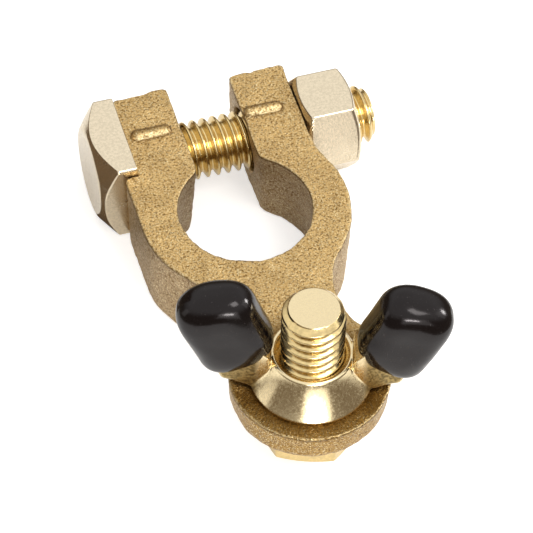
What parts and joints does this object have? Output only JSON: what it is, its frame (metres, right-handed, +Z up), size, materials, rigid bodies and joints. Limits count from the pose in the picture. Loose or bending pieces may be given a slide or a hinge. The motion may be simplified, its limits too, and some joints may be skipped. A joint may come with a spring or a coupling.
{
  "type": "ground clamp",
  "caption": "Cast brass battery-post ground clamp: split ring closed by a square-head pinch bolt, with an upright stud and a wing nut for a cable lug.",
  "frame": {"origin": "where the post bore's axis meets the casting's top face", "axes": "+Z up along the post bore, +Y towards the ears and the pinch bolt, -Y towards the stud, +X towards the pinch nut"},
  "size_m": [0.0389, 0.0606, 0.0286],
  "materials": {
    "cast_brass": "sand-cast, matte and granular",
    "bolt_brass": "pale champagne brass, satin, with bright edges",
    "bright_brass": "bright yellow brass",
    "black_vinyl": "glossy dipped vinyl"
  },
  "bodies": {
    "casting": {"clamp_body": "cast_brass"},
    "pinch_bolt": {"pinch_bolt": "bolt_brass"},
    "pinch_nut": {"pinch_nut": "bolt_brass"},
    "stud": {"stud_bolt": "bright_brass"},
    "wing_nut": {"wing_nut": "bright_brass", "wing_cap_left": "black_vinyl", "wing_cap_right": "black_vinyl"}
  },
  "joints": [
    {"name": "pinch_nut_turn", "type": "hinge", "parent": "casting", "child": "pinch_nut", "pos_m": [0.0119, 0.01558, -0.0052], "axis": [1, 0, 0], "range_deg": [0, 2520]},
    {"name": "pinch_bolt_back_out", "type": "slide", "parent": "casting", "child": "pinch_bolt", "axis": [-1, 0, 0], "range_m": [0, 0.00989]},
    {"name": "wing_nut_turn", "type": "hinge", "parent": "casting", "child": "wing_nut", "pos_m": [0, -0.0281, 0], "axis": [0, 0, 1], "range_deg": [0, 3600]},
    {"name": "stud_drop", "type": "slide", "parent": "casting", "child": "stud", "axis": [0, 0, -1], "range_m": [0, 0.01412]}
  ],
  "couplings": [
    {"joint": "pinch_bolt_back_out", "follows": "pinch_nut_turn", "m_per_rad": 0.00022459},
    {"joint": "stud_drop", "follows": "wing_nut_turn", "m_per_rad": 0.00022459}
  ]
}
